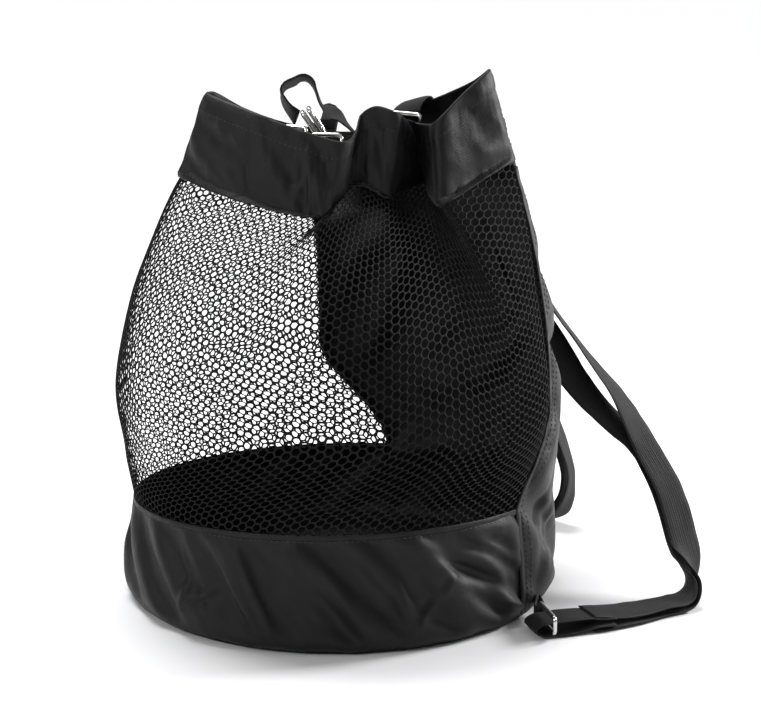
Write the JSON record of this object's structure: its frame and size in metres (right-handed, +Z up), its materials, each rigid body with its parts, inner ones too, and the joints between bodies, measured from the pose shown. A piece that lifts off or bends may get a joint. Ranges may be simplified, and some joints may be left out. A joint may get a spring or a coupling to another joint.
{
  "type": "mesh ball bag",
  "caption": "Round-based mesh ball bag with a nylon band, back panel and gathered collar, metal rings and two webbing shoulder straps.",
  "frame": {"origin": "centre of the flat base, on the surface that the bag stands on", "axes": "+Z up through the bag; the front with the net faces -Y; the back panel and its straps face +X and a little +Y"},
  "size_m": [0.3518, 0.3068, 0.3132],
  "materials": {
    "nylon": "satin",
    "net": "matte",
    "webbing": "matte",
    "nickel": "polished"
  },
  "bodies": {
    "bag": {"base_disc": "nylon", "base_piping": "nylon", "front_band": "nylon", "net_panel": "net", "collar": "nylon", "back_panel": "nylon", "band_seam_tape": "nylon", "front_seam_tape": "nylon", "far_seam_tape": "nylon", "base_tab_right": "webbing", "base_tab_left": "webbing", "strap_right_top": "webbing", "strap_left_top": "webbing", "back_ring_tab": "webbing", "draw_strap": "webbing", "collar_tab_left": "webbing", "collar_tab_middle": "webbing"},
    "lower_ring_right": {"base_ring_right": "nickel", "strap_loop_right": "webbing"},
    "lower_ring_left": {"base_ring_left": "nickel", "strap_loop_left": "webbing"},
    "shoulder_strap_right": {"strap_right_inner": "webbing", "strap_right_outer": "webbing"},
    "shoulder_strap_left": {"strap_left_inner": "webbing", "strap_left_outer": "webbing"},
    "mouth_ring_back": {"back_ring": "nickel"},
    "mouth_rings_cinch": {"cinch_ring_front": "nickel", "cinch_ring_back": "nickel"},
    "mouth_ring_left": {"collar_ring_left": "nickel"},
    "mouth_ring_middle": {"collar_ring_middle": "nickel"}
  },
  "joints": [
    {"name": "lower_ring_right_swing", "type": "hinge", "parent": "bag", "child": "lower_ring_right", "pos_m": [0.11615, -0.07855, 0.0086], "axis": [0, 0, 1], "range_deg": [-15, 5]},
    {"name": "lower_ring_left_swing", "type": "hinge", "parent": "bag", "child": "lower_ring_left", "pos_m": [0.03613, 0.13549, 0.0086], "axis": [0, 0, 1], "range_deg": [-5, 15]},
    {"name": "strap_right_swing", "type": "hinge", "parent": "bag", "child": "shoulder_strap_right", "pos_m": [0.1464, -0.083, 0.005], "axis": [-0.2438, 0.5679, 0.7861], "range_deg": [-18, 0]},
    {"name": "strap_left_swing", "type": "hinge", "parent": "bag", "child": "shoulder_strap_left", "pos_m": [0.05604, 0.15869, 0.005], "axis": [-0.2688, -0.2754, 0.923], "range_deg": [0, 18]},
    {"name": "back_ring_tilt", "type": "hinge", "parent": "bag", "child": "mouth_ring_back", "pos_m": [0.0395, 0.0285, 0.2732], "axis": [-0.8, 0.6, 0], "range_deg": [-8, 8]},
    {"name": "cinch_rings_swing", "type": "hinge", "parent": "bag", "child": "mouth_rings_cinch", "pos_m": [-0.01743, 0.017, 0.28932], "axis": [0, 1, 0], "range_deg": [-10, 4]},
    {"name": "collar_ring_left_tilt", "type": "hinge", "parent": "bag", "child": "mouth_ring_left", "pos_m": [-0.02765, -0.02547, 0.27395], "axis": [0.9138, -0.4061, 0], "range_deg": [-10, 10]},
    {"name": "collar_ring_middle_tilt", "type": "hinge", "parent": "bag", "child": "mouth_ring_middle", "pos_m": [-0.00731, -0.031, 0.26993], "axis": [0.9794, -0.2019, 0], "range_deg": [-10, 10]}
  ]
}
